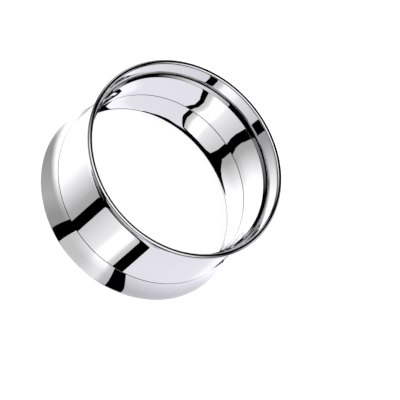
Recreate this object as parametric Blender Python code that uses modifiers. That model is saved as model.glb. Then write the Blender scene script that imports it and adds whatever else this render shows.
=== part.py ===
"""Screw-fit, double flared ear tunnel of polished surgical steel.

Two turned pieces share the Z axis. The screw flare lies below, with its rim on
the surface and its threaded stub pointing up. The tunnel body stands on it: a
straight barrel with a lipped flare at the top and a threaded socket below.
Metres, +Z up. The origin is on the axis, in the plane that the lower rim rests on.
"""

import math

import bmesh
import bpy

MM = 0.001

# Driving sizes of the whole tunnel
RIM_RADIUS = 11.7 * MM        # outer radius of both flares
HEIGHT = 12.15 * MM           # from rim to rim
BARREL_RADIUS = 11.05 * MM    # straight part that sits in the lobe, a 22 mm gauge
BORE_RADIUS = 10.32 * MM      # narrowest part of the hole, at the inner seam

# Heights of the joint between the two pieces
OUTER_SEAM = 3.24 * MM        # the body's end stands over the flare's shoulder here
INNER_SEAM = 5.52 * MM        # the stub's end stands under the body's shoulder here
SEAM_GAP = 0.12 * MM          # clearance between the faces at both seams
SEAM_EDGE = 0.05 * MM         # chamfer on the edges that meet at the seams

# Rims, which are alike on both flares
RIM_ROUND = 0.24 * MM         # rounding on the outside of a rim
RIM_INNER_ROUND = 0.18 * MM   # rounding on the inside of a rim
LIP_INNER_RADIUS = 11.34 * MM  # where the flat of the upper rim ends

# Upper flare, on the body
UNDERCUT_ANGLE = 25.0         # slope of its underside below the rim, from the axis
UNDERCUT_ROUND = 3.3 * MM     # the arc from there to the barrel
LIP_FOOT_RADIUS = 10.94 * MM  # where the conical band inside the lip meets the step
LIP_FOOT_HEIGHT = 10.70 * MM
STEP_ANGLE = 45.0             # slope at the foot of the step, from the axis
STEP_ROUND = 0.90 * MM        # the hollow arc of the step
STEP_FOOT_HEIGHT = 9.98 * MM
STEP_EDGE_ROUND = 0.05 * MM

# The body's bore widens gently away from the inner seam, runs straight, and widens again
WAIST_ANGLE = 6.0             # slope at the seam
WAIST_TOP = 6.75 * MM
SPREAD_FOOT = 8.05 * MM
SPREAD_ANGLE = 6.5            # slope at the step

# Lower flare, on the screw piece
FLARE_START_ANGLE = 5.0       # slope of its outside at the seam, from the axis
FLARE_CONE_ANGLE = 14.5       # slope of its outside at the rim
MOUTH_ANGLE = 38.0            # slope of its inside at the rim
MOUTH_TURN_ANGLE = 7.0        # slope where the tight arc meets the gentle one
MOUTH_TIGHT_ROUND = 3.3 * MM
MOUTH_GENTLE_ROUND = 18.0 * MM

# Thread, which has a running clearance
STUB_RADIUS = 10.55 * MM      # outside of the stub at the root of its thread
SOCKET_RADIUS = 10.71 * MM    # inside of the socket at the crest of its thread
THREAD_DEPTH = 0.08 * MM
THREAD_PITCH = 0.60 * MM
THREAD_TURNS = 3
THREAD_START = OUTER_SEAM + 0.25 * MM
STUB_CHAMFER = 0.10 * MM

FACETS = 64                   # sides of every turned surface
RUN_OUT_FACETS = 8            # facets over which a thread's end fades
RUN_OUT_SCALE = 0.3           # share of the full thread left at its very end

STEEL_COLOUR = (0.80, 0.80, 0.82, 1.0)
STEEL_ROUGHNESS = 0.06


def clear_scene():
    """Remove every object that the file starts with."""
    for item in list(bpy.data.objects):
        bpy.data.objects.remove(item, do_unlink=True)


def new_collection(name):
    """Make a collection in the scene."""
    collection = bpy.data.collections.new(name)
    bpy.context.scene.collection.children.link(collection)
    return collection


def steel(name, tint):
    """Make a polished steel, a little lighter or darker than the next piece."""
    material = bpy.data.materials.new(name)
    material.use_nodes = True
    shader = material.node_tree.nodes["Principled BSDF"]
    colour = [channel * tint for channel in STEEL_COLOUR[:3]] + [1.0]
    shader.inputs["Base Color"].default_value = colour
    shader.inputs["Metallic"].default_value = 1.0
    shader.inputs["Roughness"].default_value = STEEL_ROUGHNESS
    return material


def arc(centre, radius, start, end, steps):
    """Points (r, z) on an arc between two angles in degrees, both ends included."""
    points = []
    for step in range(steps + 1):
        angle = math.radians(start + (end - start) * step / steps)
        points.append((centre[0] + radius * math.cos(angle), centre[1] + radius * math.sin(angle)))
    return points


def rounded_corner(before, corner, after, radius, steps):
    """Points (r, z) that round the corner between two straight stretches."""
    arm_in = math.atan2(before[1] - corner[1], before[0] - corner[0])
    arm_out = math.atan2(after[1] - corner[1], after[0] - corner[0])
    opening = (arm_out - arm_in + math.pi) % (2.0 * math.pi) - math.pi
    half = opening / 2.0
    reach = radius / abs(math.sin(half))
    middle = arm_in + half
    centre = (corner[0] + reach * math.cos(middle), corner[1] + reach * math.sin(middle))
    sweep = math.copysign(math.pi - abs(opening), -opening)
    start = math.degrees(middle + math.pi - sweep / 2.0)
    return arc(centre, radius, start, start + math.degrees(sweep), steps)


def body_outline():
    """Section (r, z) of the tunnel body, down its outside and up its inside."""
    rim_centre = (RIM_RADIUS - RIM_ROUND, HEIGHT - RIM_ROUND)
    rim = arc(rim_centre, RIM_ROUND, 90.0, -UNDERCUT_ANGLE, 6)

    # The underside is a short cone below the rim's rounding, then a hollow arc to the barrel
    rim_end = rim[-1]
    slope = math.radians(UNDERCUT_ANGLE)
    arc_run = UNDERCUT_ROUND * (1.0 - math.cos(slope))
    cone_drop = (rim_end[0] - BARREL_RADIUS - arc_run) / math.tan(slope)
    undercut_foot = rim_end[1] - cone_drop - UNDERCUT_ROUND * math.sin(slope)
    undercut_centre = (BARREL_RADIUS + UNDERCUT_ROUND, undercut_foot)
    underside = arc(undercut_centre, UNDERCUT_ROUND, 180.0 - UNDERCUT_ANGLE, 180.0, 6)

    end_face = OUTER_SEAM + SEAM_GAP
    shoulder = INNER_SEAM + SEAM_GAP
    socket = [
        (BARREL_RADIUS, end_face + SEAM_EDGE),
        (BARREL_RADIUS - SEAM_EDGE, end_face),
        (SOCKET_RADIUS + STUB_CHAMFER, end_face),
        (SOCKET_RADIUS, end_face + STUB_CHAMFER),
        (SOCKET_RADIUS, shoulder),
        (BORE_RADIUS + SEAM_EDGE, shoulder),
        (BORE_RADIUS, shoulder + SEAM_EDGE),
    ]

    # The bore, from the inner seam up to the foot of the step
    waist_slope = math.radians(WAIST_ANGLE)
    waist_round = (WAIST_TOP - shoulder) / math.sin(waist_slope)
    straight = BORE_RADIUS + waist_round * (1.0 - math.cos(waist_slope))
    waist = arc((straight - waist_round, WAIST_TOP), waist_round, -WAIST_ANGLE, 0.0, 3)[1:]
    spread_round = (STEP_FOOT_HEIGHT - SPREAD_FOOT) / math.sin(math.radians(SPREAD_ANGLE))
    spread_centre = (straight + spread_round, SPREAD_FOOT)
    spread = arc(spread_centre, spread_round, 180.0, 180.0 - SPREAD_ANGLE, 4)

    # Inside the lip: a conical band that runs down into the hollow step
    lip_centre = (LIP_INNER_RADIUS, HEIGHT - RIM_INNER_ROUND)
    lip_run = LIP_INNER_RADIUS - RIM_INNER_ROUND - LIP_FOOT_RADIUS
    lip_slope = math.atan2(lip_run, lip_centre[1] - LIP_FOOT_HEIGHT)
    lip_angle = math.degrees(lip_slope)
    lip = arc(lip_centre, RIM_INNER_ROUND, 180.0 - lip_angle, 90.0, 4)
    step_centre = (
        LIP_FOOT_RADIUS - STEP_ROUND * math.cos(lip_slope),
        LIP_FOOT_HEIGHT + STEP_ROUND * math.sin(lip_slope),
    )
    step = arc(step_centre, STEP_ROUND, -STEP_ANGLE, -lip_angle, 5)
    edge = rounded_corner(spread[-2], spread[-1], step[0], STEP_EDGE_ROUND, 2)

    return rim + underside + socket + waist + spread[:-1] + edge + step + lip


def flare_outline():
    """Section (r, z) of the screw flare, down its outside and up its inside."""
    stub_top = INNER_SEAM
    stub = [
        (BORE_RADIUS + SEAM_EDGE, stub_top),
        (STUB_RADIUS - STUB_CHAMFER, stub_top),
        (STUB_RADIUS, stub_top - STUB_CHAMFER),
        (STUB_RADIUS, OUTER_SEAM),
        (BARREL_RADIUS - SEAM_EDGE, OUTER_SEAM),
    ]

    # Outside: a concave arc that steepens into a cone, which runs into the rim's rounding
    rim_centre = (RIM_RADIUS - RIM_ROUND, RIM_ROUND)
    rim = arc(rim_centre, RIM_ROUND, FLARE_CONE_ANGLE, -90.0, 6)
    flare_top = (BARREL_RADIUS, OUTER_SEAM - SEAM_EDGE)
    start = math.radians(FLARE_START_ANGLE)
    cone = math.radians(FLARE_CONE_ANGLE)
    run = rim[0][0] - flare_top[0]
    drop = flare_top[1] - rim[0][1]
    arc_run = math.cos(start) - math.cos(cone)
    arc_drop = math.sin(cone) - math.sin(start)
    flare_round = (run - drop * math.tan(cone)) / (arc_run - arc_drop * math.tan(cone))
    flare_centre = (
        flare_top[0] + flare_round * math.cos(start),
        flare_top[1] + flare_round * math.sin(start),
    )
    outside = arc(flare_centre, flare_round, 180.0 + FLARE_START_ANGLE, 180.0 + FLARE_CONE_ANGLE, 3)

    # Inside, from the bore down: a gentle arc, a tight arc, the rounding into the flat of the rim
    turn = math.radians(MOUTH_TURN_ANGLE)
    mouth = math.radians(MOUTH_ANGLE)
    gentle_run = MOUTH_GENTLE_ROUND * (1.0 - math.cos(turn))
    tight_run = MOUTH_TIGHT_ROUND * (math.cos(turn) - math.cos(mouth))
    gentle_drop = MOUTH_GENTLE_ROUND * math.sin(turn)
    tight_drop = MOUTH_TIGHT_ROUND * (math.sin(mouth) - math.sin(turn))
    mouth_foot = RIM_INNER_ROUND * (1.0 - math.sin(mouth))
    waist = mouth_foot + tight_drop + gentle_drop
    flat_radius = BORE_RADIUS + gentle_run + tight_run + RIM_INNER_ROUND * math.cos(mouth)
    turn_point = (BORE_RADIUS + gentle_run, waist - gentle_drop)
    tight_centre = (
        turn_point[0] + MOUTH_TIGHT_ROUND * math.cos(turn),
        turn_point[1] + MOUTH_TIGHT_ROUND * math.sin(turn),
    )
    foot_centre = (flat_radius, RIM_INNER_ROUND)
    gentle_centre = (BORE_RADIUS + MOUTH_GENTLE_ROUND, waist)
    mouth_at = 180.0 + MOUTH_ANGLE
    turn_at = 180.0 + MOUTH_TURN_ANGLE
    foot = arc(foot_centre, RIM_INNER_ROUND, 270.0, mouth_at, 2)
    tight = arc(tight_centre, MOUTH_TIGHT_ROUND, mouth_at, turn_at, 4)[1:]
    gentle = arc(gentle_centre, MOUTH_GENTLE_ROUND, turn_at, 180.0, 3)[1:]

    return stub + outside + rim + foot + tight + gentle + [(BORE_RADIUS, stub_top - SEAM_EDGE)]


def turned(name, outline, material, collection):
    """Turn a closed section round the Z axis with a Screw modifier."""
    mesh = bpy.data.meshes.new(name)
    verts = [(radius, 0.0, height) for radius, height in outline]
    edges = [(index, (index + 1) % len(verts)) for index in range(len(verts))]
    mesh.from_pydata(verts, edges, [])
    mesh.materials.append(material)
    piece = bpy.data.objects.new(name, mesh)
    collection.objects.link(piece)
    screw = piece.modifiers.new("Turn", "SCREW")
    screw.axis = "Z"
    screw.angle = 2.0 * math.pi
    screw.steps = FACETS
    screw.render_steps = FACETS
    screw.use_merge_vertices = True
    screw.merge_threshold = 0.000001
    screw.use_smooth_shade = True
    return piece


def thread_tool(name, radius, collection):
    """Make one closed helix of diamond section, which fades at both ends."""
    curve = bpy.data.curves.new(name, "CURVE")
    curve.dimensions = "3D"
    curve.twist_mode = "Z_UP"
    curve.bevel_depth = THREAD_DEPTH
    curve.bevel_resolution = 0
    curve.use_fill_caps = True
    count = FACETS * THREAD_TURNS + 1
    spline = curve.splines.new("POLY")
    spline.points.add(count - 1)
    for index in range(count):
        angle = 2.0 * math.pi * index / FACETS
        height = THREAD_START + THREAD_PITCH * index / FACETS
        from_end = min(index, count - 1 - index) / RUN_OUT_FACETS
        point = spline.points[index]
        point.co = (radius * math.cos(angle), radius * math.sin(angle), height, 1.0)
        point.radius = RUN_OUT_SCALE + (1.0 - RUN_OUT_SCALE) * min(1.0, from_end)

    guide = bpy.data.objects.new(name + "_path", curve)
    collection.objects.link(guide)
    bpy.context.view_layer.update()
    evaluated = guide.evaluated_get(bpy.context.evaluated_depsgraph_get())
    mesh = bpy.data.meshes.new_from_object(evaluated)
    mesh.name = name
    bpy.data.objects.remove(guide, do_unlink=True)

    shape = bmesh.new()
    shape.from_mesh(mesh)
    bmesh.ops.remove_doubles(shape, verts=shape.verts, dist=0.000001)
    bmesh.ops.recalc_face_normals(shape, faces=shape.faces)
    shape.to_mesh(mesh)
    shape.free()

    tool = bpy.data.objects.new(name, mesh)
    collection.objects.link(tool)
    tool.hide_render = True
    tool.display_type = "WIRE"
    return tool


def combine(piece, tool, operation):
    """Join a thread tool to a piece, or cut it out of the piece."""
    boolean = piece.modifiers.new("Thread", "BOOLEAN")
    boolean.operation = operation
    boolean.solver = "EXACT"
    boolean.object = tool


def build():
    """Model both pieces in their assembled place."""
    clear_scene()
    tunnel = new_collection("ear_tunnel")
    tools = new_collection("thread_tools")

    flare = turned("screw_flare", flare_outline(), steel("flare_steel", 0.98), tunnel)
    ridge = thread_tool("stub_thread", STUB_RADIUS, tools)
    combine(flare, ridge, "UNION")

    body = turned("tunnel_body", body_outline(), steel("body_steel", 1.0), tunnel)
    groove = thread_tool("socket_thread", SOCKET_RADIUS, tools)
    combine(body, groove, "DIFFERENCE")


build()
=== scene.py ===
"""Looks of the screw-fit ear tunnel: finely turned steel pieces, their polish and the studio.

Both pieces are turned again from the driving sizes, finer than the solids they stand for.
The steel is a mirror, so the studio matters as much as the material: white and grey cards
stand all round with dark gaps between them, and only reflections see the cards.
Metres, +Z up. Azimuth 0 is the camera's side, which is -Y, and it grows towards +X.
"""

import math

import bpy
from mathutils import Matrix, Vector


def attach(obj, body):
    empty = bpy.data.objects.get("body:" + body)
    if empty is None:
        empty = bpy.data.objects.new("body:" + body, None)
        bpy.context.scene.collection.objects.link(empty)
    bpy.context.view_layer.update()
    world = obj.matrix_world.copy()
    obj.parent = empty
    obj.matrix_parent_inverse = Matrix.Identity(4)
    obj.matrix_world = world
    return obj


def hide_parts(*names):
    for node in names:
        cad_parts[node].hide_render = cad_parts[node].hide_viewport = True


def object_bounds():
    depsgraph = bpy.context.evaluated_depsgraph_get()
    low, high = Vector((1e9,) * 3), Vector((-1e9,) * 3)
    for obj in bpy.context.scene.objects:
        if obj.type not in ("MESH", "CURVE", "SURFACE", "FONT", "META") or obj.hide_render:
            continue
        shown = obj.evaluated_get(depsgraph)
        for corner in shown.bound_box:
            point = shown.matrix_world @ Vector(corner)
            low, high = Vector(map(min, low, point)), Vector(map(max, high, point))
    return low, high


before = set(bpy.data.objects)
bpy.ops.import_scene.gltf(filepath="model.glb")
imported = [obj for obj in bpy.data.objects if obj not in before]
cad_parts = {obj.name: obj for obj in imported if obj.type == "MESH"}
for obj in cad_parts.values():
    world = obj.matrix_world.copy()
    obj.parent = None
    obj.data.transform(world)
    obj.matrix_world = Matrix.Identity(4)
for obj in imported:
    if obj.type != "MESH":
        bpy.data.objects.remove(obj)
cad_low, cad_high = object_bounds()

MM = 0.001

# Driving sizes, from the frame where it has them. Angles are degrees from the axis.
RIM_RADIUS = (cad_high.x - cad_low.x) / 2.0
HEIGHT = cad_high.z
BARREL_RADIUS = 11.05 * MM
BORE_RADIUS = 10.32 * MM      # at the inner seam, the narrowest place
OUTER_SEAM = 3.24 * MM
INNER_SEAM = 5.52 * MM
SEAM_GAP = 0.10 * MM          # what shows of the seam once both pieces are screwed tight
SEAM_EDGE = 0.015 * MM

RIM_ROUND = 0.24 * MM
RIM_INNER_ROUND = 0.18 * MM
LIP_INNER_RADIUS = 11.34 * MM
UNDERCUT_ANGLE = 40.5         # slope of the lip's underside where it meets the rim's round
LIP_FOOT_RADIUS = 10.97 * MM  # where the band inside the lip meets the step
LIP_FOOT_HEIGHT = 10.66 * MM
STEP_ANGLE = 48.0             # slope of the step at its foot
STEP_ROUND = 0.80 * MM
STEP_FOOT_HEIGHT = 9.98 * MM
STEP_EDGE_ROUND = 0.05 * MM
WAIST_ANGLE = 6.0             # the body's bore widens gently away from the seam,
WAIST_TOP = 6.75 * MM         # runs straight, and widens again below the step
SPREAD_FOOT = 8.05 * MM
SPREAD_ANGLE = 6.5

FLARE_START_ANGLE = 5.0       # slope of the screw flare's outside, under the seam
FLARE_CONE_ANGLE = 17.0       # and at the rim
MOUTH_ANGLE = 38.0            # the mouth opens in a gentle arc, then in a tight one
MOUTH_TURN_ANGLE = 7.0
MOUTH_TIGHT_ROUND = 3.3 * MM
MOUTH_GENTLE_ROUND = 18.0 * MM

STUB_RADIUS = 10.55 * MM
SOCKET_RADIUS = 10.71 * MM
THREAD_DEPTH = 0.08 * MM
THREAD_PITCH = 0.60 * MM
THREAD_MARGIN = 0.25 * MM     # plain stretch at each end of the thread
THREAD_FADE = 0.20 * MM       # length over which the thread runs out
STUB_CHAMFER = 0.10 * MM

# Fineness of the turned pieces
SEGMENTS = 384                # sides of a turned piece
WALL_STEP = 0.25 * MM         # longest stretch of a straight wall between two rings
THREAD_ROWS = 44              # stretches up a wall with a thread
SAME_RADIUS = 0.0001 * MM     # a point this near a thread's wall is on it
SHARP_ANGLE = 24.0            # edges sharper than this aren't smoothed
RIM_STEPS = 20                # stretches in each arc of the sections
UNDERCUT_STEPS = 24
STEP_STEPS = 24
EDGE_STEPS = 6
BORE_STEPS = 12
LIP_STEPS = 10
FLARE_STEPS = 14
FOOT_STEPS = 8

# Steel
STEEL_DARK = (0.80, 0.80, 0.815)
STEEL_LIGHT = (0.85, 0.85, 0.862)
BODY_TONE = 1.0
FLARE_TONE = 0.98
HAZE_SCALE = 0.35             # patches of haze to the millimetre
HAZE_DETAIL = 4.0
RINGS_SCALE = 9.0             # polishing rings to the millimetre
RINGS_DETAIL = 3.0
RINGS_LOW = 0.3               # the rings' noise lies mostly between these two values
RINGS_HIGH = 0.7
FINE_POLISH = 0.01            # roughness where the polish is best and where it is worst
COARSE_POLISH = 0.03
WAVE_STRENGTH = 0.10
WAVE_HEIGHT = 0.0002 * MM

# Camera: the photograph's angle to the tunnel, with a long lens and a rolled frame
CAMERA_ELEVATION = 53.88
CAMERA_ROLL = 49.00
CAMERA_DISTANCE = 876.0 * MM  # from the centre of the lower rim
LENS_MM = 721.0
AIM_RIGHT = 6.95 * MM         # from the lower rim's centre to the middle of the frame
AIM_UP = 0.18 * MM
VIEW_END = 10.0

# Studio
CARD_STEP = 3.0               # degrees between two rows of a card's grid
FOOT_ROWS = 8                 # rows from a card's lower edge up to its first level
SLANT_FROM = -46.0            # elevations between which a slanted card moves sideways
SLANT_TO = -25.0
FAR = 60                      # distance of the outermost cards, in rim radii
FLOOR_SIZE = 6.0
FLOOR_DROP = 0.01 * MM        # keeps the floor just clear of the rim that stands on it
FLOOR_GREY = 0.72
FLOOR_ROUGHNESS = 0.22
FLOOR_GLOW = 0.68
ROOM_LIGHT = 1.0


def arc(centre, radius, start, end, steps):
    """Points (r, z) on an arc between two angles in degrees, both ends included."""
    points = []
    for step in range(steps + 1):
        angle = math.radians(start + (end - start) * step / steps)
        points.append((centre[0] + radius * math.cos(angle), centre[1] + radius * math.sin(angle)))
    return points


def rounded_corner(before, corner, after, radius, steps):
    """Points (r, z) that round the corner between two straight stretches."""
    arm_in = math.atan2(before[1] - corner[1], before[0] - corner[0])
    arm_out = math.atan2(after[1] - corner[1], after[0] - corner[0])
    opening = (arm_out - arm_in + math.pi) % (2.0 * math.pi) - math.pi
    half = opening / 2.0
    reach = radius / abs(math.sin(half))
    middle = arm_in + half
    centre = (corner[0] + reach * math.cos(middle), corner[1] + reach * math.sin(middle))
    sweep = math.copysign(math.pi - abs(opening), -opening)
    start = math.degrees(middle + math.pi - sweep / 2.0)
    return arc(centre, radius, start, start + math.degrees(sweep), steps)


def thread_wall(radius, start, end):
    """Points (r, z) on the straight wall that carries a thread, close enough for its relief."""
    rows = range(1, THREAD_ROWS)
    return [(radius, start + (end - start) * row / THREAD_ROWS) for row in rows]


def body_outline():
    """Section (r, z) of the tunnel body, down its outside and up its inside."""
    rim_centre = (RIM_RADIUS - RIM_ROUND, HEIGHT - RIM_ROUND)
    rim = arc(rim_centre, RIM_ROUND, 90.0, -UNDERCUT_ANGLE, RIM_STEPS)

    rim_end = rim[-1]
    slope = math.radians(UNDERCUT_ANGLE)
    undercut_round = (rim_end[0] - BARREL_RADIUS) / (1.0 - math.cos(slope))
    foot = rim_end[1] - undercut_round * math.sin(slope)
    undercut_centre = (BARREL_RADIUS + undercut_round, foot)
    top_angle = 180.0 - UNDERCUT_ANGLE
    underside = arc(undercut_centre, undercut_round, top_angle, 180.0, UNDERCUT_STEPS)[1:]

    end_face = OUTER_SEAM + SEAM_GAP
    shoulder = INNER_SEAM + SEAM_GAP
    socket = [
        (BARREL_RADIUS, end_face + SEAM_EDGE),
        (BARREL_RADIUS - SEAM_EDGE, end_face),
        (SOCKET_RADIUS + STUB_CHAMFER, end_face),
        (SOCKET_RADIUS, end_face + STUB_CHAMFER),
    ]
    socket += thread_wall(SOCKET_RADIUS, end_face + STUB_CHAMFER, shoulder)
    socket += [
        (SOCKET_RADIUS, shoulder),
        (BORE_RADIUS + SEAM_EDGE, shoulder),
        (BORE_RADIUS, shoulder + SEAM_EDGE),
    ]

    waist_round = (WAIST_TOP - shoulder) / math.sin(math.radians(WAIST_ANGLE))
    straight = BORE_RADIUS + waist_round * (1.0 - math.cos(math.radians(WAIST_ANGLE)))
    waist_centre = (straight - waist_round, WAIST_TOP)
    waist = arc(waist_centre, waist_round, -WAIST_ANGLE, 0.0, BORE_STEPS)[1:]
    spread_round = (STEP_FOOT_HEIGHT - SPREAD_FOOT) / math.sin(math.radians(SPREAD_ANGLE))
    spread_centre = (straight + spread_round, SPREAD_FOOT)
    spread = arc(spread_centre, spread_round, 180.0, 180.0 - SPREAD_ANGLE, BORE_STEPS)

    lip_centre = (LIP_INNER_RADIUS, HEIGHT - RIM_INNER_ROUND)
    lip_run = lip_centre[0] - RIM_INNER_ROUND - LIP_FOOT_RADIUS
    lip_slope = math.atan2(lip_run, lip_centre[1] - LIP_FOOT_HEIGHT)
    lip_angle = math.degrees(lip_slope)
    lip = arc(lip_centre, RIM_INNER_ROUND, 180.0 - lip_angle, 90.0, LIP_STEPS)
    step_centre = (
        LIP_FOOT_RADIUS - STEP_ROUND * math.cos(lip_slope),
        LIP_FOOT_HEIGHT + STEP_ROUND * math.sin(lip_slope),
    )
    step = arc(step_centre, STEP_ROUND, -STEP_ANGLE, -lip_angle, STEP_STEPS)
    edge = rounded_corner(spread[-2], spread[-1], step[0], STEP_EDGE_ROUND, EDGE_STEPS)

    return rim + underside + socket + waist + spread[:-1] + edge + step + lip


def flare_outline():
    """Section (r, z) of the screw flare, down its outside and up its inside."""
    stub_top = INNER_SEAM
    stub = [
        (BORE_RADIUS + SEAM_EDGE, stub_top),
        (STUB_RADIUS - STUB_CHAMFER, stub_top),
        (STUB_RADIUS, stub_top - STUB_CHAMFER),
    ]
    stub += thread_wall(STUB_RADIUS, stub_top - STUB_CHAMFER, OUTER_SEAM)
    stub += [
        (STUB_RADIUS, OUTER_SEAM),
        (BARREL_RADIUS - SEAM_EDGE, OUTER_SEAM),
    ]

    rim_centre = (RIM_RADIUS - RIM_ROUND, RIM_ROUND)
    rim = arc(rim_centre, RIM_ROUND, FLARE_CONE_ANGLE, -90.0, RIM_STEPS)
    flare_top = (BARREL_RADIUS, OUTER_SEAM - SEAM_EDGE)
    start = math.radians(FLARE_START_ANGLE)
    cone = math.radians(FLARE_CONE_ANGLE)
    run = rim[0][0] - flare_top[0]
    drop = flare_top[1] - rim[0][1]
    arc_run = math.cos(start) - math.cos(cone)
    arc_drop = math.sin(cone) - math.sin(start)
    flare_round = (run - drop * math.tan(cone)) / (arc_run - arc_drop * math.tan(cone))
    flare_centre = (
        flare_top[0] + flare_round * math.cos(start),
        flare_top[1] + flare_round * math.sin(start),
    )
    start_at = 180.0 + FLARE_START_ANGLE
    cone_at = 180.0 + FLARE_CONE_ANGLE
    outside = arc(flare_centre, flare_round, start_at, cone_at, FLARE_STEPS)

    turn = math.radians(MOUTH_TURN_ANGLE)
    mouth = math.radians(MOUTH_ANGLE)
    gentle_run = MOUTH_GENTLE_ROUND * (1.0 - math.cos(turn))
    tight_run = MOUTH_TIGHT_ROUND * (math.cos(turn) - math.cos(mouth))
    gentle_drop = MOUTH_GENTLE_ROUND * math.sin(turn)
    tight_drop = MOUTH_TIGHT_ROUND * (math.sin(mouth) - math.sin(turn))
    mouth_foot = RIM_INNER_ROUND * (1.0 - math.sin(mouth))
    waist = mouth_foot + tight_drop + gentle_drop
    flat_radius = BORE_RADIUS + gentle_run + tight_run + RIM_INNER_ROUND * math.cos(mouth)
    turn_point = (BORE_RADIUS + gentle_run, waist - gentle_drop)
    tight_centre = (
        turn_point[0] + MOUTH_TIGHT_ROUND * math.cos(turn),
        turn_point[1] + MOUTH_TIGHT_ROUND * math.sin(turn),
    )
    foot_centre = (flat_radius, RIM_INNER_ROUND)
    gentle_centre = (BORE_RADIUS + MOUTH_GENTLE_ROUND, waist)
    mouth_at = 180.0 + MOUTH_ANGLE
    turn_at = 180.0 + MOUTH_TURN_ANGLE
    foot = arc(foot_centre, RIM_INNER_ROUND, 270.0, mouth_at, FOOT_STEPS)
    tight = arc(tight_centre, MOUTH_TIGHT_ROUND, mouth_at, turn_at, FLARE_STEPS)[1:]
    gentle = arc(gentle_centre, MOUTH_GENTLE_ROUND, turn_at, 180.0, FLARE_STEPS)[1:]

    return stub + outside + rim + foot + tight + gentle + [(BORE_RADIUS, stub_top - SEAM_EDGE)]


def filled_in(outline):
    """The closed outline with more points along its long straight stretches."""
    points = []
    for index, point in enumerate(outline):
        after = outline[(index + 1) % len(outline)]
        parts = max(1, math.ceil(math.dist(point, after) / WALL_STEP))
        for part in range(parts):
            share = part / parts
            points.append((
                point[0] + (after[0] - point[0]) * share,
                point[1] + (after[1] - point[1]) * share,
            ))
    return points


def thread_relief(angle, height, bottom, top):
    """How far the thread moves this place away from the axis, as a share of its depth."""
    from_end = min(height - bottom, top - height)
    if from_end <= 0.0:
        return 0.0
    turn = (height / THREAD_PITCH - angle / (2.0 * math.pi)) % 1.0
    return abs(2.0 * turn - 1.0) * min(1.0, from_end / THREAD_FADE)


def turned(name, outline, thread_radius):
    """Turn a closed section round the Z axis, with a helical thread on the wall at one radius."""
    points = filled_in(outline)
    bottom = OUTER_SEAM + THREAD_MARGIN
    top = INNER_SEAM - THREAD_MARGIN
    verts = []
    for segment in range(SEGMENTS):
        angle = 2.0 * math.pi * segment / SEGMENTS
        for radius, height in points:
            if abs(radius - thread_radius) < SAME_RADIUS:
                radius += THREAD_DEPTH * thread_relief(angle, height, bottom, top)
            verts.append((radius * math.cos(angle), radius * math.sin(angle), height))

    faces = []
    count = len(points)
    for segment in range(SEGMENTS):
        here = segment * count
        there = (segment + 1) % SEGMENTS * count
        for index in range(count):
            after = (index + 1) % count
            faces.append((here + index, here + after, there + after, there + index))

    mesh = bpy.data.meshes.new(name)
    mesh.from_pydata(verts, [], faces)
    mesh.shade_smooth()
    mesh.set_sharp_from_angle(angle=math.radians(SHARP_ANGLE))
    piece = bpy.data.objects.new(name, mesh)
    bpy.context.scene.collection.objects.link(piece)
    weighted = piece.modifiers.new("Even shading", "WEIGHTED_NORMAL")
    weighted.keep_sharp = True
    return piece


def node(tree, kind, **settings):
    """Add a node and set its properties."""
    made = tree.nodes.new(kind)
    for key, value in settings.items():
        setattr(made, key, value)
    return made


def place_in_millimetres(tree):
    """The position on the piece, in millimetres."""
    place = node(tree, "ShaderNodeTexCoord")
    millimetres = node(tree, "ShaderNodeVectorMath", operation="SCALE")
    millimetres.inputs["Scale"].default_value = 1.0 / MM
    tree.links.new(place.outputs["Object"], millimetres.inputs[0])
    return millimetres.outputs[0]


def place_in_section(tree, place):
    """The same position turned into the section: distance from the axis, and height."""
    link = tree.links.new
    split = node(tree, "ShaderNodeSeparateXYZ")
    link(place, split.inputs[0])
    flat = node(tree, "ShaderNodeCombineXYZ")
    link(split.outputs["X"], flat.inputs["X"])
    link(split.outputs["Y"], flat.inputs["Y"])
    from_axis = node(tree, "ShaderNodeVectorMath", operation="LENGTH")
    link(flat.outputs[0], from_axis.inputs[0])
    section = node(tree, "ShaderNodeCombineXYZ")
    link(from_axis.outputs["Value"], section.inputs["X"])
    link(split.outputs["Z"], section.inputs["Z"])
    return section.outputs[0]


def noise(tree, scale, detail, place):
    """A noise texture at a place."""
    texture = node(tree, "ShaderNodeTexNoise")
    texture.inputs["Scale"].default_value = scale
    texture.inputs["Detail"].default_value = detail
    tree.links.new(place, texture.inputs["Vector"])
    return texture


def steel(name, tone):
    """Mirror-polished surgical steel with faint polishing rings and handling haze."""
    material = bpy.data.materials.new(name)
    material.use_nodes = True
    tree = material.node_tree
    shader = tree.nodes["Principled BSDF"]
    shader.inputs["Metallic"].default_value = 1.0
    link = tree.links.new

    place = place_in_millimetres(tree)
    rings = noise(tree, RINGS_SCALE, RINGS_DETAIL, place_in_section(tree, place))
    haze = noise(tree, HAZE_SCALE, HAZE_DETAIL, place)

    colour = node(tree, "ShaderNodeMix", data_type="RGBA")
    colour.inputs["A"].default_value = [channel * tone for channel in STEEL_DARK] + [1.0]
    colour.inputs["B"].default_value = [channel * tone for channel in STEEL_LIGHT] + [1.0]
    link(haze.outputs["Fac"], colour.inputs["Factor"])
    link(colour.outputs["Result"], shader.inputs["Base Color"])

    polish = node(tree, "ShaderNodeMapRange")
    polish.inputs["From Min"].default_value = RINGS_LOW
    polish.inputs["From Max"].default_value = RINGS_HIGH
    polish.inputs["To Min"].default_value = FINE_POLISH
    polish.inputs["To Max"].default_value = COARSE_POLISH
    link(rings.outputs["Fac"], polish.inputs["Value"])
    link(polish.outputs["Result"], shader.inputs["Roughness"])

    wave = node(tree, "ShaderNodeBump")
    wave.inputs["Strength"].default_value = WAVE_STRENGTH
    wave.inputs["Distance"].default_value = WAVE_HEIGHT
    link(rings.outputs["Fac"], wave.inputs["Height"])
    link(wave.outputs["Normal"], shader.inputs["Normal"])
    return material


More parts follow.
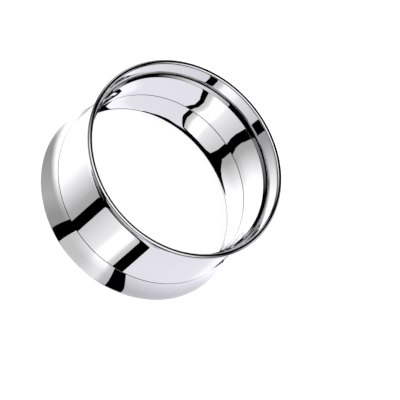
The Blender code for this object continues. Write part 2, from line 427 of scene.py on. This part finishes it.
def add_piece(name, outline, thread_radius, cad_node, body, slot, tone):
    """Turn a piece, give it its steel and let it stand for its solid."""
    piece = turned(name, outline, thread_radius)
    piece.data.materials.append(steel(slot, tone))
    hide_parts(cad_node)
    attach(piece, body)


def card_material():
    """Light as bright as each place of a card says."""
    material = bpy.data.materials.new("studio_card")
    material.use_nodes = True
    tree = material.node_tree
    tree.nodes.clear()
    level = node(tree, "ShaderNodeAttribute", attribute_name="level")
    glow = node(tree, "ShaderNodeEmission")
    out = node(tree, "ShaderNodeOutputMaterial")
    tree.links.new(level.outputs["Color"], glow.inputs["Color"])
    tree.links.new(glow.outputs[0], out.inputs["Surface"])
    material.cycles.emission_sampling = "NONE"
    return material


def between(stops, at):
    """The value at a place along stops, each a place and its value."""
    if at <= stops[0][0]:
        return stops[0][1]
    for before, after in zip(stops, stops[1:]):
        if at <= after[0]:
            share = (at - before[0]) / (after[0] - before[0])
            return before[1] + (after[1] - before[1]) * share
    return stops[-1][1]


def grid_values(stops):
    """Evenly spread values from the first stop to the last, with the stops among them."""
    parts = max(1, math.ceil((stops[-1] - stops[0]) / CARD_STEP))
    values = [stops[0] + (stops[-1] - stops[0]) * part / parts for part in range(parts + 1)]
    return sorted(set(values + list(stops)))


def add_card(name, foot, lower, upper, fade, top, tint, distance, slant, material):
    """A card on a sphere round the tunnel, seen by reflections alone."""
    columns = grid_values([azimuth for azimuth, _ in foot])
    centre = Vector((0.0, 0.0, HEIGHT / 2.0))
    lines = [(part / FOOT_ROWS, fade[0]) for part in range(FOOT_ROWS)]
    lines += [(1.0, elevation) for elevation in grid_values([*fade, top])]
    verts = []
    colours = []
    for share, elevation in lines:
        faded = between([(fade[0], 0.0), (fade[1], 1.0)], elevation)
        risen = between([(SLANT_FROM, 0.0), (SLANT_TO, 1.0)], elevation)
        for azimuth in columns:
            edge = between(foot, azimuth)
            rise = math.radians(edge + (elevation - edge) * share)
            turn = math.radians(azimuth + slant * risen * share)
            direction = Vector((
                math.cos(rise) * math.sin(turn),
                -math.cos(rise) * math.cos(turn),
                math.sin(rise),
            ))
            verts.append(centre + direction * distance * RIM_RADIUS)
            low = between(lower, azimuth)
            level = low + (between(upper, azimuth) - low) * faded
            colours.append([level * channel for channel in tint])
    width = len(columns)
    faces = []
    for row in range(len(verts) // width - 1):
        for column in range(width - 1):
            first = row * width + column
            faces.append((first, first + 1, first + width + 1, first + width))
    mesh = bpy.data.meshes.new(name)
    mesh.from_pydata(verts, [], faces)
    painted = mesh.color_attributes.new("level", "FLOAT_COLOR", "POINT")
    for point, colour in zip(painted.data, colours):
        point.color = (*colour, 1.0)
    mesh.materials.append(material)
    card = bpy.data.objects.new(name, mesh)
    bpy.context.scene.collection.objects.link(card)
    card.visible_camera = False
    card.visible_diffuse = False
    card.visible_shadow = False
    card.visible_transmission = False


WHITE = (1.0, 1.0, 1.0)
LILAC = (0.985, 0.965, 1.03)

# The cards. foot holds azimuths and the elevation of the card's lower edge at each of them.
# lower and upper hold azimuths and how bright the card is there below the fade and above it.
# fade is the two elevations between which one turns into the other, and top the card's upper
# edge. distance is in rim radii, and slant is how far the upper part is moved sideways, in
# degrees like all the rest. Beyond its first and last place a profile keeps its value.
CARDS = [
    dict(
        name="card_left",
        foot=[(-166, -71), (-119, -71), (-78, -69.5), (-59, -67), (-48, -65), (-40, -62), (-31, -57)],
        lower=[(-166, 0.55), (-150, 1.25), (-78, 1.25), (-40, 0.50), (-31, 0.45)],
        upper=[(-166, 0.50), (-100, 0.36), (-59, 0.50), (-40, 0.36)],
        fade=(-43, -36), top=3, tint=WHITE, distance=30, slant=0,
    ),
    dict(
        name="card_centre",
        foot=[(-17.9, -66), (-10, -68.5), (-3, -69.2), (13, -69), (28, -68), (37.2, -66.5)],
        lower=[(-17.9, 0.70), (10, 1.00), (14, 1.25), (28, 1.25), (32, 0.75), (37.2, 0.65)],
        upper=[(-17.9, 0.65), (6, 0.68), (25, 1.00), (32, 0.60)],
        fade=(-42, -27), top=3, tint=WHITE, distance=40, slant=0,
    ),
    dict(
        name="card_right_near",
        foot=[(46.9, -77), (80, -77)],
        lower=[(46.9, 0.93)],
        upper=[(46.9, 0.60)],
        fade=(-46, -25), top=3, tint=LILAC, distance=8, slant=4,
    ),
    dict(
        name="card_right",
        foot=[(60, -71), (125, -71), (140, -68), (157.5, -66)],
        lower=[(125, 0.93), (140, 1.10)],
        upper=[(60, 0.60)],
        fade=(-46, -25), top=3, tint=LILAC, distance=12, slant=0,
    ),
    dict(
        name="card_front_left",
        foot=[(-110, 3), (-31, 3)],
        lower=[(-110, 0.00)],
        upper=[(-70, 0.40), (-31, 0.25)],
        fade=(27, 44), top=45, tint=WHITE, distance=FAR, slant=0,
    ),
    dict(
        name="card_front_right",
        foot=[(12, 3), (110, 3)],
        lower=[(12, 0.00)],
        upper=[(12, 0.50), (47, 0.85), (70, 0.85), (110, 0.50)],
        fade=(26, 38), top=44, tint=WHITE, distance=FAR, slant=0,
    ),
    dict(
        name="card_back_left",
        foot=[(-158, -20), (-114, -20)],
        lower=[(-158, 0.00), (-149, 0.35), (-122, 0.35), (-114, 0.00)],
        upper=[(-158, 0.00), (-149, 0.80), (-122, 0.80), (-114, 0.00)],
        fade=(-10, 43), top=44, tint=WHITE, distance=FAR, slant=0,
    ),
    dict(
        name="card_back_right",
        foot=[(114, -20), (158, -20)],
        lower=[(114, 0.00), (122, 0.35), (149, 0.35), (158, 0.00)],
        upper=[(114, 0.00), (122, 0.80), (149, 0.80), (158, 0.00)],
        fade=(-10, 43), top=44, tint=WHITE, distance=FAR, slant=0,
    ),
    dict(
        name="card_overhead",
        foot=[(-180, 46), (180, 46)],
        lower=[(-120, 0.00), (-100, 0.90), (100, 0.90), (120, 0.00)],
        upper=[(-180, 1.22)],
        fade=(58, 66), top=90, tint=WHITE, distance=FAR, slant=0,
    ),
]


def floor_paint():
    """Plain white that glows a little, so that no shade of grey shows on it."""
    paint = bpy.data.materials.new("floor_white")
    paint.use_nodes = True
    shader = paint.node_tree.nodes["Principled BSDF"]
    shader.inputs["Base Color"].default_value = (FLOOR_GREY, FLOOR_GREY, FLOOR_GREY, 1.0)
    shader.inputs["Roughness"].default_value = FLOOR_ROUGHNESS
    shader.inputs["Emission Color"].default_value = (*WHITE, 1.0)
    shader.inputs["Emission Strength"].default_value = FLOOR_GLOW
    return paint


def add_floor():
    """The floor that the tunnel stands on, which the steel doesn't reflect."""
    mesh = bpy.data.meshes.new("floor")
    half = FLOOR_SIZE / 2.0
    corners = [(-half, -half, 0.0), (half, -half, 0.0), (half, half, 0.0), (-half, half, 0.0)]
    mesh.from_pydata(corners, [], [(0, 1, 2, 3)])
    floor = bpy.data.objects.new("floor", mesh)
    bpy.context.scene.collection.objects.link(floor)
    floor.location.z = -FLOOR_DROP
    floor.visible_glossy = False
    mesh.materials.append(floor_paint())


def light_room():
    """Even light from all round, which the steel doesn't reflect."""
    world = bpy.data.worlds.new("studio")
    bpy.context.scene.world = world
    world.use_nodes = True
    background = world.node_tree.nodes["Background"]
    background.inputs["Color"].default_value = (*WHITE, 1.0)
    background.inputs["Strength"].default_value = ROOM_LIGHT
    world.cycles_visibility.glossy = False
    bpy.context.scene.view_settings.view_transform = "Standard"


def add_camera():
    """The photograph's view: 54 degrees above the floor, rolled, through a long lens."""
    rise = math.radians(CAMERA_ELEVATION)
    roll = math.radians(CAMERA_ROLL)
    back = Vector((0.0, -math.cos(rise), math.sin(rise)))
    level_right = Vector((1.0, 0.0, 0.0))
    level_up = back.cross(level_right)
    right = level_right * math.cos(roll) + level_up * math.sin(roll)
    up = level_up * math.cos(roll) - level_right * math.sin(roll)
    lens = bpy.data.cameras.new("camera")
    lens.lens = LENS_MM
    lens.clip_end = VIEW_END
    camera = bpy.data.objects.new("camera", lens)
    bpy.context.scene.collection.objects.link(camera)
    rotation = Matrix((right, up, back)).transposed().to_4x4()
    place = right * AIM_RIGHT + up * AIM_UP + back * CAMERA_DISTANCE
    camera.matrix_world = Matrix.Translation(place) @ rotation
    bpy.context.scene.camera = camera


add_piece(
    "turned_flare", flare_outline(), thread_radius=STUB_RADIUS,
    cad_node="screw_flare", body="flare", slot="flare_steel", tone=FLARE_TONE)
add_piece(
    "turned_body", body_outline(), thread_radius=SOCKET_RADIUS,
    cad_node="tunnel_body", body="barrel", slot="body_steel", tone=BODY_TONE)
card_paint = card_material()
for card_values in CARDS:
    add_card(**card_values, material=card_paint)
add_floor()
light_room()
add_camera()
